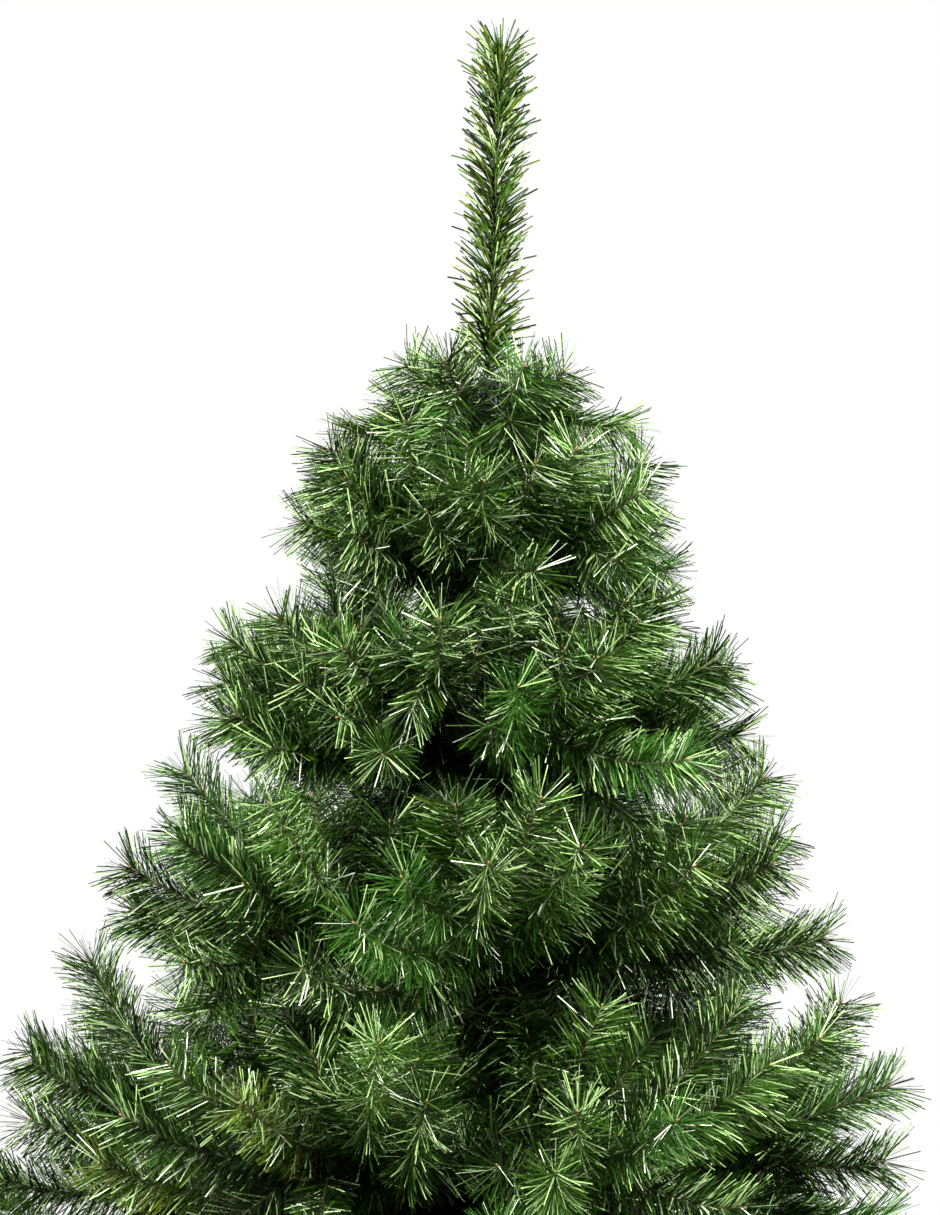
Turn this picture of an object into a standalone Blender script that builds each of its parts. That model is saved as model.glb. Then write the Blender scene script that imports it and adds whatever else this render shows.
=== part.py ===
# Artificial Christmas tree, undecorated, on a plain four-legged steel stand.
# A steel pole carries six tiers of wire boughs wound with cut PVC needles, and a brush
# for a leader. Metres, +Z up, the origin on the floor under the pole.

import math
import random

import bmesh
import bpy
from mathutils import Matrix, Vector

# Whole tree
TREE_HEIGHT = 1.80
CROWN_RADIUS = 0.60
GAP = 0.0003
TILTED_GAP = 0.0007
WELD = 0.000001
SEED = 31

# Outline of the crown: its radius at the top ring, how fast it widens below that, and
# the steeper shoulder above it, which would close to a point at SHOULDER_TOP
TOP_RING_HEIGHT = 1.396
TOP_RING_RADIUS = 0.182
CROWN_SLOPE = 0.430
SHOULDER_TOP = 1.545
SHOULDER_SLOPE = 1.15
CROWN_FOOT = 0.262
CROWN_TOP = 1.490

# Tiers, counted from the top, each with its boughs spread evenly round the pole
TIERS = 6
BOUGHS_IN_TIER = 6
TOP_TIER_HEIGHT = 1.375
TIER_STEP = 0.150
TIER_STEP_GROWTH = 0.0126
TOP_TIER_RISE = 0.50
LOW_TIER_RISE = 0.22
LIMB_TIERS = 2
LIMB_SHARE = 0.20
HALF_WEDGE = math.pi / BOUGHS_IN_TIER
MASS_CLEARANCE = 0.0025
TWIG_ROOM = 0.022
STEM_SHORTFALL = 0.02
TWIG_SHORTFALL = 0.05

# Twigs of one mass by tier: those that fan out to the outline, and those that fill the
# space above and below the stem's inner part
OUTER_TWIGS = (3, 4, 4, 5, 6, 6)
INNER_TWIGS = (0, 1, 1, 1, 2, 2)

# Pole sections from the bottom up, and the collars that the boughs hook into
POLE_FOOT = 0.060
POLE_TOP = 1.430
POLE_SECTIONS = ((0.0140, 0.70), (0.0125, 1.10), (0.0095, POLE_TOP))
POLE_SHOULDER = 0.012
POLE_SIDES = 12
COLLAR_RADIUS = 0.021
COLLAR_HEIGHT = 0.022

# Wire and needles
LIMB_RADIUS = 0.0055
LIMB_SIDES = 8
STEM_RADIUS = 0.0042
TWIG_RADIUS = 0.0030
NEEDLE_LENGTH = 0.050
NEEDLE_GROWTH = 0.0030
NEEDLE_ANGLE = math.radians(41)
END_NEEDLE = 0.034
NEEDLE_ROW_PITCH = 0.0265
NEEDLE_ROW_GROWTH = 0.0036
NEEDLE_ROW_TWIST = 0.22
NEEDLE_ROOM = 0.022
MAIN_BARE_SHARE = 0.12
BARE_TWIG = 0.036
TWIG_SAG = 0.05
PATH_STEPS = 8

# Leader brush on the pole's top
LEADER_NEEDLE_LENGTH = 0.045
LEADER_ROW_PITCH = 0.0150
LEADER_SIDES = 6
LEADER_BARE_SHARE = 0.03
LEADER_SPACE_RADIUS = 0.050

# Stand
SOCKET_WALL = 0.0030
SOCKET_BORE = POLE_SECTIONS[0][0] + 0.0006
SOCKET_FOOT = 0.040
SOCKET_TOP = 0.235
HUB_RADIUS = 0.031
HUB_LOW = 0.078
HUB_HIGH = 0.132
SOCKET_SIDES = 16
LEG_COUNT = 4
LEG_WIDTH = 0.022
LEG_DEPTH = 0.012
LEG_BEVEL = 0.0025
LEG_END_RADIUS = 0.285
LEG_END_HEIGHT = 0.0125
LEG_SINK = 0.020
FOOT_LENGTH = 0.046
FOOT_WIDTH = 0.032
FOOT_HEIGHT = 0.027
FOOT_BEVEL = 0.004
SCREW_HEIGHT = 0.205
SCREW_RADIUS = 0.0030
SCREW_LENGTH = 0.022
KNOB_RADIUS = 0.0125
KNOB_THICKNESS = 0.009
SCREW_SIDES = 12


def clear_scene():
    for item in list(bpy.data.objects):
        bpy.data.objects.remove(item, do_unlink=True)


def new_collection(name, hidden=False):
    collection = bpy.data.collections.new(name)
    bpy.context.scene.collection.children.link(collection)
    collection.hide_render = hidden
    return collection


def new_material(name, colour, roughness, metallic=0.0):
    material = bpy.data.materials.new(name)
    material.use_nodes = True
    shader = material.node_tree.nodes["Principled BSDF"]
    shader.inputs["Base Color"].default_value = (*colour, 1.0)
    shader.inputs["Roughness"].default_value = roughness
    shader.inputs["Metallic"].default_value = metallic
    material.diffuse_color = (*colour, 1.0)
    return material


def add_object(name, mesh, collection, material=None):
    item = bpy.data.objects.new(name, mesh)
    collection.objects.link(item)
    if material:
        mesh.materials.append(material)
    return item


def mesh_from(form, name):
    mesh = bpy.data.meshes.new(name)
    bmesh.ops.recalc_face_normals(form, faces=form.faces)
    form.to_mesh(mesh)
    form.free()
    return mesh


def mark_as_cutter(item):
    item.hide_render = True
    item.display_type = "WIRE"


def evaluated_mesh(item):
    graph = bpy.context.evaluated_depsgraph_get()
    return bpy.data.meshes.new_from_object(item.evaluated_get(graph))


# Outline and tiers


def crown_reach(height):
    widened = TOP_RING_RADIUS + CROWN_SLOPE * (TOP_RING_HEIGHT - height)
    return min(CROWN_RADIUS, widened, SHOULDER_SLOPE * (SHOULDER_TOP - height))


def tier_height(tier):
    return TOP_TIER_HEIGHT - TIER_STEP * tier - TIER_STEP_GROWTH * tier**2


def tier_rise(tier):
    share = tier / (TIERS - 1)
    return TOP_TIER_RISE + (LOW_TIER_RISE - TOP_TIER_RISE) * share


def bough_level(tier, radius):
    """Height of a tier's boughs at a radius from the pole."""
    return tier_height(tier) + tier_rise(tier) * radius


def tip_height(tier):
    """Height at which a tier's boughs meet the outline, on its cone or its shoulder."""
    rise = tier_rise(tier)
    cone_level = TOP_RING_RADIUS + CROWN_SLOPE * TOP_RING_HEIGHT
    on_cone = (tier_height(tier) + rise * cone_level) / (1 + rise * CROWN_SLOPE)
    shoulder_level = SHOULDER_SLOPE * SHOULDER_TOP
    on_shoulder = (tier_height(tier) + rise * shoulder_level) / (1 + rise * SHOULDER_SLOPE)
    return min(on_cone, on_shoulder)


def edge_below(tier, radius):
    """Height of the slanted surface that parts a tier from the one below it."""
    foot = (tier_height(tier) + tier_height(tier + 1)) / 2
    rise = (tier_rise(tier) + tier_rise(tier + 1)) / 2
    return max(CROWN_FOOT, foot + rise * radius)


def top_of_band(tier, radius):
    if tier == 0:
        return CROWN_TOP
    return edge_below(tier - 1, radius)


def bough_azimuth(tier, place):
    return HALF_WEDGE * (2 * place + tier % 2)


def has_limb(tier):
    return tier >= TIERS - LIMB_TIERS


def polar(radius, azimuth, height):
    return Vector((radius * math.cos(azimuth), radius * math.sin(azimuth), height))


def in_space(point, tier, place):
    """True where a point lies in the space of one mass, clear of its neighbours."""
    radius = math.hypot(point.x, point.y)
    turn = math.atan2(point.y, point.x) - bough_azimuth(tier, place)
    turn = (turn + math.pi) % (2 * math.pi) - math.pi
    if abs(turn) > HALF_WEDGE:
        return False
    if radius * math.sin(HALF_WEDGE - abs(turn)) < MASS_CLEARANCE:
        return False
    if radius < COLLAR_RADIUS + MASS_CLEARANCE:
        return False
    if point.z > top_of_band(tier, radius) - MASS_CLEARANCE:
        return False
    if point.z < edge_below(tier, radius) + MASS_CLEARANCE:
        return False
    in_leader = radius < LEADER_SPACE_RADIUS + MASS_CLEARANCE
    return not (tier == 0 and in_leader and point.z > POLE_TOP - COLLAR_HEIGHT)


# Growth rule: where the twigs of a mass run


def stem_start(tier):
    """Radius at which a mass's stem begins: at the collar, or at its limb's tip."""
    lean = math.sin(math.atan(tier_rise(tier)))
    collar = COLLAR_RADIUS + GAP + STEM_RADIUS * lean
    if not has_limb(tier):
        return collar
    return collar + LIMB_SHARE * (crown_reach(tip_height(tier)) - collar)


def twig_ends(tier, place):
    """Start and end points of a mass's twigs, the main stem first."""
    draw = random.Random(SEED * 1000 + tier * 100 + place)
    azimuth = bough_azimuth(tier, place)
    level = tip_height(tier)
    start = stem_start(tier)
    reach = crown_reach(level) - END_NEEDLE
    root = polar(start, azimuth, bough_level(tier, start))
    tip_turn = draw.uniform(-0.12, 0.12) * HALF_WEDGE
    tip = polar(reach - draw.uniform(0, STEM_SHORTFALL), azimuth + tip_turn, level)
    twigs = [(root, tip)]
    hand = draw.choice((-1, 1))
    phase = draw.random()
    count = OUTER_TWIGS[tier]
    for index in range(count):
        share = index / max(count - 1, 1)
        along = 0.05 + 0.50 * share + draw.uniform(-0.02, 0.02)
        turn = hand * (0.82 - 0.50 * share + draw.uniform(-0.04, 0.04)) * HALF_WEDGE
        lift = (phase + 0.618 * index) % 1
        low = edge_below(tier, reach) + TWIG_ROOM
        high = top_of_band(tier, reach) - TWIG_ROOM
        height = low + (high - low) * lift
        radius = crown_reach(height) - END_NEEDLE - draw.uniform(0, TWIG_SHORTFALL)
        twigs.append((root.lerp(tip, along), polar(radius, azimuth + turn, height)))
        hand = -hand
    for index in range(INNER_TWIGS[tier]):
        foot = root.lerp(tip, 0.09 + 0.20 * index + draw.uniform(-0.02, 0.02))
        radius = math.hypot(foot.x, foot.y) + draw.uniform(0.03, 0.06)
        if (index + place) % 2:
            height = top_of_band(tier, radius) - TWIG_ROOM
        else:
            height = edge_below(tier, radius) + TWIG_ROOM
        turn = hand * draw.uniform(0.10, 0.40) * HALF_WEDGE
        twigs.append((foot, polar(radius, azimuth + turn, height)))
        hand = -hand
    return twigs


def along_twig(start, end, share):
    """A point on a twig, which sags a little so that its end curves upwards."""
    point = start.lerp(end, share)
    point.z -= 4 * TWIG_SAG * (end - start).length * share * (1 - share)
    return point


# Meshes of needles on wire


def spray_row(path, share, radius, sides, twist, grow):
    """Points round a path at a share of its way, each as a core point or a needle's tip."""
    place = share * (len(path) - 1)
    index = min(int(place), len(path) - 2)
    centre = path[index].lerp(path[index + 1], place - index)
    tangent = (path[index + 1] - path[index]).normalized()
    turn = tangent.to_track_quat("Z", "Y").to_matrix()
    row = []
    for side in range(sides):
        angle = 2 * math.pi * (side + 0.5) / sides + twist
        outward = turn @ Vector((math.cos(angle), math.sin(angle), 0))
        slant = outward * math.sin(NEEDLE_ANGLE) + tangent * math.cos(NEEDLE_ANGLE)
        row.append(grow(side, centre, slant) or centre + outward * radius * (1 - 0.45 * share))
    return row


def spray_form(path, radius, rows_from, pitch, needle, sides, accept):
    """A slim core whose rows send out needles in turn, as toothed blades.

    Each tooth stands on the four core points round it, so neighbours never cross.
    """
    length = sum((b - a).length for a, b in zip(path, path[1:]))
    count = max(2, round(length * (1 - rows_from) / pitch))
    toothed = set()

    def grow(side, centre, slant):
        tooth = centre + slant * needle
        if (side + number) % 2 or not accept(tooth) or not accept(centre.lerp(tooth, 0.6)):
            return None
        toothed.add(number)
        return tooth

    rows = {}
    for number in range(count + 1):
        share = rows_from + (1 - rows_from) * number / count
        twist = NEEDLE_ROW_TWIST * number
        ends_bare = number in (0, count)
        rows[number] = spray_row(
            path, share, radius, sides, twist, (lambda *_: None) if ends_bare else grow
        )
    first = min(toothed, default=1) - 1
    last = max(toothed, default=count - 1) + 1
    root = spray_row(path, 0, radius, sides, NEEDLE_ROW_TWIST * first, lambda *_: None)
    form = bmesh.new()
    rings = [[form.verts.new(point) for point in root]]
    rings += [[form.verts.new(point) for point in rows[number]] for number in range(first, last + 1)]
    for step, (low, high) in enumerate(zip(rings, rings[1:])):
        for side in range(sides):
            after = (side + 1) % sides
            a, b, c, d = low[side], low[after], high[after], high[side]
            if step == 0:
                form.faces.new((a, b, c, d))
            elif (side + first + step) % 2:
                form.faces.new((a, b, d))
                form.faces.new((b, c, d))
            else:
                form.faces.new((a, b, c))
                form.faces.new((a, c, d))
    ahead = (path[-1] - path[-2]).normalized() * END_NEEDLE
    apex = form.verts.new(path[-1] + ahead)
    for side in range(sides):
        form.faces.new((rings[-1][side], rings[-1][(side + 1) % sides], apex))
    form.faces.new(reversed(rings[0]))
    return form


def largest_body(mesh):
    """Keeps the outer skin of the largest body, which fills hollows and drops scraps."""
    form = bmesh.new()
    form.from_mesh(mesh)
    bmesh.ops.remove_doubles(form, verts=form.verts, dist=WELD)
    unseen = set(form.verts)
    bodies = []
    while unseen:
        start = unseen.pop()
        body = {start}
        front = [start]
        while front:
            for edge in front.pop().link_edges:
                for vert in unseen.intersection(edge.verts):
                    unseen.discard(vert)
                    body.add(vert)
                    front.append(vert)
        bodies.append(body)
    keep = max(bodies, key=len)
    bmesh.ops.delete(form, geom=[v for v in form.verts if v not in keep], context="VERTS")
    closed = all(len(edge.link_faces) == 2 for edge in form.edges)
    form.to_mesh(mesh)
    form.free()
    return mesh, closed


def join_twigs(name, forms, collection, material):
    """One Boolean union joins a mass's twigs, and their own objects are removed."""
    stem = add_object(name, mesh_from(forms[0], name), collection, material)
    twigs = new_collection(f"{name}_twigs")
    for number, form in enumerate(forms[1:]):
        add_object(f"{name}_twig_{number}", mesh_from(form, f"{name}_twig"), twigs)
    union = stem.modifiers.new("join twigs", "BOOLEAN")
    union.operation = "UNION"
    union.operand_type = "COLLECTION"
    union.collection = twigs
    for solver in ("EXACT", "MANIFOLD"):
        union.solver = solver
        joined, closed = largest_body(evaluated_mesh(stem))
        if closed:
            break
    stem.modifiers.clear()
    stem.data = joined
    for item in list(twigs.objects):
        bpy.data.objects.remove(item, do_unlink=True)
    bpy.data.collections.remove(twigs)
    return stem


# Parts of the tree


def turned(name, profile, sides, collection, material):
    """A turned piece from its profile, given from the top down its outer side."""
    mesh = bpy.data.meshes.new(name)
    count = len(profile)
    mesh.from_pydata([(r, 0, z) for r, z in profile], [(n, n + 1) for n in range(count - 1)], [])
    item = add_object(name, mesh, collection, material)
    screw = item.modifiers.new("turn", "SCREW")
    screw.steps = sides
    screw.render_steps = sides
    screw.use_merge_vertices = True
    screw.merge_threshold = 0.00001
    item.data = evaluated_mesh(item)
    item.modifiers.clear()
    item.data.shade_smooth()
    item.data.set_sharp_from_angle(angle=math.radians(35))
    return item


def make_trunk(collection, material):
    """Three sections of tube, each swaged into the one below, with a collar at each tier."""
    half = COLLAR_HEIGHT / 2
    collars = [bough_level(tier, COLLAR_RADIUS) for tier in range(TIERS)]
    profile = [(0, POLE_TOP)]
    for radius, top in reversed(POLE_SECTIONS):
        bottom = max([end for _, end in POLE_SECTIONS if end < top], default=POLE_FOOT)
        shoulder = POLE_SHOULDER if top < POLE_TOP else 0
        profile.append((radius, top - shoulder))
        for height in (level for level in collars if bottom < level < top):
            profile += [
                (radius, height + half),
                (COLLAR_RADIUS, height + half),
                (COLLAR_RADIUS, height - half),
                (radius, height - half),
            ]
        profile.append((radius, bottom))
    profile.append((0, POLE_FOOT))
    return turned("trunk", profile, POLE_SIDES, collection, material)


def make_limb(tier, place, collection, material):
    """A bare tapering wire limb from its collar to the mass that it carries."""
    lean = math.sin(math.atan(tier_rise(tier)))
    azimuth = bough_azimuth(tier, place)
    start = COLLAR_RADIUS + TILTED_GAP + LIMB_RADIUS * lean
    end = stem_start(tier) - TILTED_GAP
    foot = polar(start, azimuth, bough_level(tier, start))
    tip = polar(end, azimuth, bough_level(tier, end))
    form = bmesh.new()
    turn = (tip - foot).to_track_quat("Z", "Y").to_matrix().to_4x4()
    bmesh.ops.create_cone(
        form,
        cap_ends=True,
        segments=LIMB_SIDES,
        radius1=LIMB_RADIUS,
        radius2=STEM_RADIUS,
        depth=(tip - foot).length,
        matrix=Matrix.Translation((foot + tip) / 2) @ turn,
    )
    name = f"limb_{tier + 1}_{place + 1}"
    limb = add_object(name, mesh_from(form, name), collection, material)
    limb.data.shade_smooth()
    limb.data.set_sharp_from_angle(angle=math.radians(50))
    return limb


def make_mass(tier, place, collection, material):
    """One bough's foliage: twigs from one stem, each wound with rows of needles."""
    paths = []
    for number, (start, end) in enumerate(twig_ends(tier, place)):
        path = [along_twig(start, end, step / PATH_STEPS) for step in range(PATH_STEPS + 1)]
        if number == 0:
            path = [start.lerp(end, step / PATH_STEPS) for step in range(PATH_STEPS + 1)]
        if number == 0 or all(in_space(point, tier, place) for point in path[1:]):
            paths.append(path)
    pitch = NEEDLE_ROW_PITCH + NEEDLE_ROW_GROWTH * tier
    needle = NEEDLE_LENGTH + NEEDLE_GROWTH * tier
    forms = []
    for number, path in enumerate(paths):
        others = [
            a.lerp(b, share / 4)
            for other in paths
            if other is not path
            for a, b in zip(other, other[1:])
            for share in range(4)
        ]

        def accept(tooth):
            if any((tooth - point).length < NEEDLE_ROOM for point in others):
                return False
            return in_space(tooth, tier, place)

        length = (path[-1] - path[0]).length
        bare = MAIN_BARE_SHARE if number == 0 else min(0.6, BARE_TWIG / length)
        radius = STEM_RADIUS if number == 0 else TWIG_RADIUS
        forms.append(spray_form(path, radius, bare, pitch, needle, 4, accept))
    return join_twigs(f"mass_{tier + 1}_{place + 1}", forms, collection, material)


def make_leader(collection, material):
    """The brush on the pole's top: one straight wire with needles swept upwards."""
    foot = Vector((0, 0, POLE_TOP + GAP))
    tip = Vector((0, 0, TREE_HEIGHT - END_NEEDLE))
    form = spray_form(
        [foot, tip],
        STEM_RADIUS,
        LEADER_BARE_SHARE,
        LEADER_ROW_PITCH,
        LEADER_NEEDLE_LENGTH,
        LEADER_SIDES,
        lambda point: True,
    )
    return add_object("leader", mesh_from(form, "leader"), collection, material)


def make_socket(collection, material, cutters):
    """The stand's socket: a tube with a closed foot and a thicker hub for the legs."""
    tube = SOCKET_BORE + SOCKET_WALL
    chamfer = 0.002
    profile = [
        (0, POLE_FOOT - GAP),
        (SOCKET_BORE, POLE_FOOT - GAP),
        (SOCKET_BORE, SOCKET_TOP),
        (tube, SOCKET_TOP),
        (tube, HUB_HIGH + chamfer),
        (HUB_RADIUS - chamfer, HUB_HIGH),
        (HUB_RADIUS, HUB_HIGH - chamfer),
        (HUB_RADIUS, HUB_LOW + chamfer),
        (HUB_RADIUS - chamfer, HUB_LOW),
        (tube, HUB_LOW - chamfer),
        (tube, SOCKET_FOOT),
        (0, SOCKET_FOOT),
    ]
    socket = turned("stand_socket", profile, SOCKET_SIDES, collection, material)
    form = bmesh.new()
    bmesh.ops.create_cone(
        form,
        cap_ends=True,
        segments=16,
        radius1=SCREW_RADIUS + GAP,
        radius2=SCREW_RADIUS + GAP,
        depth=2 * SCREW_LENGTH,
        matrix=screw_place(SCREW_LENGTH + 0.001),
    )
    hole = add_object("screw_hole", mesh_from(form, "screw_hole"), cutters)
    mark_as_cutter(hole)
    cut = socket.modifiers.new("screw hole", "BOOLEAN")
    cut.operation = "DIFFERENCE"
    cut.object = hole
    return socket


def screw_place(radius):
    """Matrix that lays a piece made along +Z out along the clamp screw's axis, +Y."""
    centre = polar(radius, math.pi / 2, SCREW_HEIGHT)
    return Matrix.Translation(centre) @ Matrix.Rotation(-math.pi / 2, 4, "X")


def make_screw(collection, material):
    """The clamp screw with its knob, whose point stops just short of the pole."""
    inner = POLE_SECTIONS[0][0] + GAP
    edge = 0.0015
    head = SCREW_LENGTH
    back = SCREW_LENGTH + KNOB_THICKNESS
    profile = [
        (0, back),
        (KNOB_RADIUS - edge, back),
        (KNOB_RADIUS, back - edge),
        (KNOB_RADIUS, head + edge),
        (KNOB_RADIUS - edge, head),
        (SCREW_RADIUS, head),
        (SCREW_RADIUS, 0),
        (0, 0),
    ]
    screw = turned("stand_screw", profile, SCREW_SIDES, collection, material)
    screw.data.transform(screw_place(inner))
    return screw


def leg_frame(azimuth):
    """Start, end and turn of one straight leg, from the hub down to its foot."""
    outward = polar(1, azimuth, 0)
    foot = outward * LEG_END_RADIUS + Vector((0, 0, LEG_END_HEIGHT))
    middle = (HUB_LOW + HUB_HIGH) / 2
    head = outward * HUB_RADIUS + Vector((0, 0, middle))
    along = (foot - head).normalized()
    start = head + along * (TILTED_GAP + LEG_DEPTH / 2 * abs(along.z))
    side = Vector((0, 0, 1)).cross(outward)
    turn = Matrix((side, along.cross(side), along)).transposed()
    return start, foot, turn


def leg_form(azimuth, grow=0.0):
    start, foot, turn = leg_frame(azimuth)
    form = bmesh.new()
    bmesh.ops.create_cube(form, size=1)
    size = (LEG_WIDTH + 2 * grow, LEG_DEPTH + 2 * grow, (foot - start).length + 2 * grow)
    bmesh.ops.scale(form, vec=size, verts=form.verts)
    long_edges = [
        edge for edge in form.edges if abs(edge.verts[0].co.z - edge.verts[1].co.z) > 0.1
    ]
    bmesh.ops.bevel(
        form,
        geom=long_edges,
        offset=LEG_BEVEL + grow,
        segments=2,
        profile=0.5,
        affect="EDGES",
        material=-1,
    )
    place = Matrix.Translation((start + foot) / 2) @ turn.to_4x4()
    bmesh.ops.transform(form, matrix=place, verts=form.verts)
    return form


def make_leg(number, collection, material):
    name = f"stand_leg_{number + 1}"
    form = leg_form(leg_azimuth(number))
    return add_object(name, mesh_from(form, name), collection, material)


def leg_azimuth(number):
    return 2 * math.pi * (number + 0.5) / LEG_COUNT


def make_foot(number, collection, material, cutters):
    """A moulded boot on a leg's end, with its flat underside on the floor."""
    azimuth = leg_azimuth(number)
    form = bmesh.new()
    bmesh.ops.create_cube(form, size=1)
    bmesh.ops.scale(form, vec=(FOOT_LENGTH, FOOT_WIDTH, FOOT_HEIGHT), verts=form.verts)
    bmesh.ops.bevel(
        form,
        geom=[edge for edge in form.edges if edge.verts[0].co.z + edge.verts[1].co.z > -0.001],
        offset=FOOT_BEVEL,
        segments=2,
        profile=0.5,
        affect="EDGES",
        material=-1,
    )
    radius = LEG_END_RADIUS + FOOT_LENGTH / 2 - LEG_SINK
    place = Matrix.Translation(polar(radius, azimuth, FOOT_HEIGHT / 2))
    turn = Matrix.Rotation(azimuth, 4, "Z")
    bmesh.ops.transform(form, matrix=place @ turn, verts=form.verts)
    name = f"stand_foot_{number + 1}"
    foot = add_object(name, mesh_from(form, name), collection, material)
    pocket_form = leg_form(azimuth, GAP)
    pocket = add_object(f"pocket_{number + 1}", mesh_from(pocket_form, "pocket"), cutters)
    mark_as_cutter(pocket)
    cut = foot.modifiers.new("pocket", "BOOLEAN")
    cut.operation = "DIFFERENCE"
    cut.object = pocket
    return foot


def main():
    clear_scene()
    tree = new_collection("artificial_christmas_tree")
    cutters = new_collection("cutters", hidden=True)
    pole_paint = new_material("dark green powder coat", (0.020, 0.036, 0.022), 0.45, 0.2)
    wire = new_material("brown wound wire", (0.085, 0.055, 0.025), 0.55)
    needles = new_material("cut PVC needles", (0.045, 0.110, 0.025), 0.40)
    stand_paint = new_material("green stand enamel", (0.018, 0.050, 0.026), 0.40, 0.2)
    boots = new_material("black moulded plastic", (0.012, 0.012, 0.012), 0.50)
    make_trunk(tree, pole_paint)
    make_leader(tree, needles)
    for tier in range(TIERS):
        for place in range(BOUGHS_IN_TIER):
            if has_limb(tier):
                make_limb(tier, place, tree, wire)
            make_mass(tier, place, tree, needles)
    make_socket(tree, stand_paint, cutters)
    make_screw(tree, boots)
    for number in range(LEG_COUNT):
        make_leg(number, tree, stand_paint)
        make_foot(number, tree, boots, cutters)


main()
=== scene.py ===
# Artificial Christmas tree: cut PVC needles on twisted wire, a steel pole and its stand,
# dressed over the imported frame. Metres, +Z up, and the photo looks along +Y.

import math
import random

import bmesh
import bpy
import numpy as np
from mathutils import Matrix, Vector


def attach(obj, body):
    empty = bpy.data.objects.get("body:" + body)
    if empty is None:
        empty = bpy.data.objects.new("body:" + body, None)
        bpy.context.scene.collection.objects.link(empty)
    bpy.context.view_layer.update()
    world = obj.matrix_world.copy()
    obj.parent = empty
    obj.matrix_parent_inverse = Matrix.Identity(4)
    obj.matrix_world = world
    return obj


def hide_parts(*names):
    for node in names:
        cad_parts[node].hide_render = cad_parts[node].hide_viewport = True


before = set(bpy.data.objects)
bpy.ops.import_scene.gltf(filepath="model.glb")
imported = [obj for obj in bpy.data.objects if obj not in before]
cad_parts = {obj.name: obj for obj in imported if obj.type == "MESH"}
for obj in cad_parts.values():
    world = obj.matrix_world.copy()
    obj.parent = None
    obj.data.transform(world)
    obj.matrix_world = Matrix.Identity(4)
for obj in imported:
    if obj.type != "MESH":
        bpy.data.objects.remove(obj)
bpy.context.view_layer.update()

# Outline and tiers, the same sizes as the solids have

crown = {
    "ringHeight": 1.396, "ringRadius": 0.182, "slope": 0.430, "radius": 0.60,
    "shoulderTop": 1.545, "shoulderSlope": 1.15, "foot": 0.262, "top": 1.490,
    "leaderRadius": 0.050,
}
tiers = {
    "count": 6, "boughs": 6, "topHeight": 1.375, "step": 0.150, "stepGrowth": 0.0126,
    "topRise": 0.50, "lowRise": 0.22, "limbTiers": 2, "limbShare": 0.20,
    "outer": (3, 4, 4, 5, 6, 6), "inner": (0, 1, 1, 1, 2, 2),
    "twigRoom": 0.022, "clearance": 0.0025, "sag": 0.05, "endNeedle": 0.034,
    "stemShortfall": 0.02, "twigShortfall": 0.05, "upturn": 0.04, "upturnFrom": 0.6,
    "pathSteps": 8, "seed": 31,
}
# where twigs leave the stem, as shares of it, and how far aside, as shares of half a wedge;
# heightTurn is a golden share, which spreads their heights evenly
branching = {
    "tipAside": 0.12, "outerFrom": 0.05, "outerSpan": 0.50, "jitter": 0.02,
    "outerAside": 0.82, "asideLoss": 0.50, "asideJitter": 0.04, "heightTurn": 0.618,
    "innerFrom": 0.09, "innerStep": 0.20, "innerAside": (0.10, 0.40), "innerLength": (0.03, 0.06),
}
pole = {
    "foot": 0.060, "top": 1.430, "sections": ((0.0140, 0.70), (0.0125, 1.10), (0.0095, 1.430)),
    "collarRadius": 0.021, "collarHeight": 0.022, "stem": 0.0042, "gap": 0.0003,
}
treeHeight = 1.80
halfWedge = math.pi / tiers["boughs"]  # each bough has its own wedge of the circle


# Small helpers


def linearColour(hexText):
    channels = [int(hexText[n:n + 2], 16) / 255 for n in (1, 3, 5)]
    return tuple(c / 12.92 if c <= 0.04045 else ((c + 0.055) / 1.055) ** 2.4 for c in channels)


def link(owner, source, output, target, socket):
    owner.node_tree.links.new(source.outputs[output], target.inputs[socket])


def addNode(owner, kind, settings=None, links=None):
    # settings and links are keyed by socket name or number; a link is (node, output)
    node = owner.node_tree.nodes.new(kind)
    for key, value in (settings or {}).items():
        if isinstance(key, str) and hasattr(node, key):
            setattr(node, key, value)
        else:
            node.inputs[key].default_value = value
    for key, (source, output) in (links or {}).items():
        link(owner, source, output, node, key)
    return node


def newMaterial(name, **sockets):
    # sockets are the shader's own, with an underscore for each space
    material = bpy.data.materials.new(name)
    material.use_nodes = True
    shader = material.node_tree.nodes["Principled BSDF"]
    for key, value in sockets.items():
        shader.inputs[key.replace("_", " ")].default_value = value
    return material, shader


def finishPiece(name, mesh, materials):
    for material in materials:
        mesh.materials.append(material)
    piece = bpy.data.objects.new(name, mesh)
    bpy.context.scene.collection.objects.link(piece)
    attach(piece, "root")
    return piece


def pieceFromForm(name, form, material, sharp=35):
    bmesh.ops.remove_doubles(form, verts=form.verts, dist=0.00001)
    bmesh.ops.recalc_face_normals(form, faces=form.faces)
    mesh = bpy.data.meshes.new(name)
    form.to_mesh(mesh)
    form.free()
    mesh.shade_smooth()
    mesh.set_sharp_from_angle(angle=math.radians(sharp))
    return finishPiece(name, mesh, [material])


def pieceFromArrays(name, points, corners, starts, shades, materials):
    # corners lists the points of all faces in turn, and starts says where each face begins
    mesh = bpy.data.meshes.new(name)
    mesh.vertices.add(len(points))
    mesh.vertices.foreach_set("co", points.astype(np.float32).ravel())
    mesh.loops.add(len(corners))
    mesh.loops.foreach_set("vertex_index", corners.astype(np.int32))
    mesh.polygons.add(len(starts))
    mesh.polygons.foreach_set("loop_start", starts.astype(np.int32))
    mesh.polygons.foreach_set("material_index", shades.astype(np.int32))
    mesh.update(calc_edges=True)
    return finishPiece(name, mesh, materials)


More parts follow.
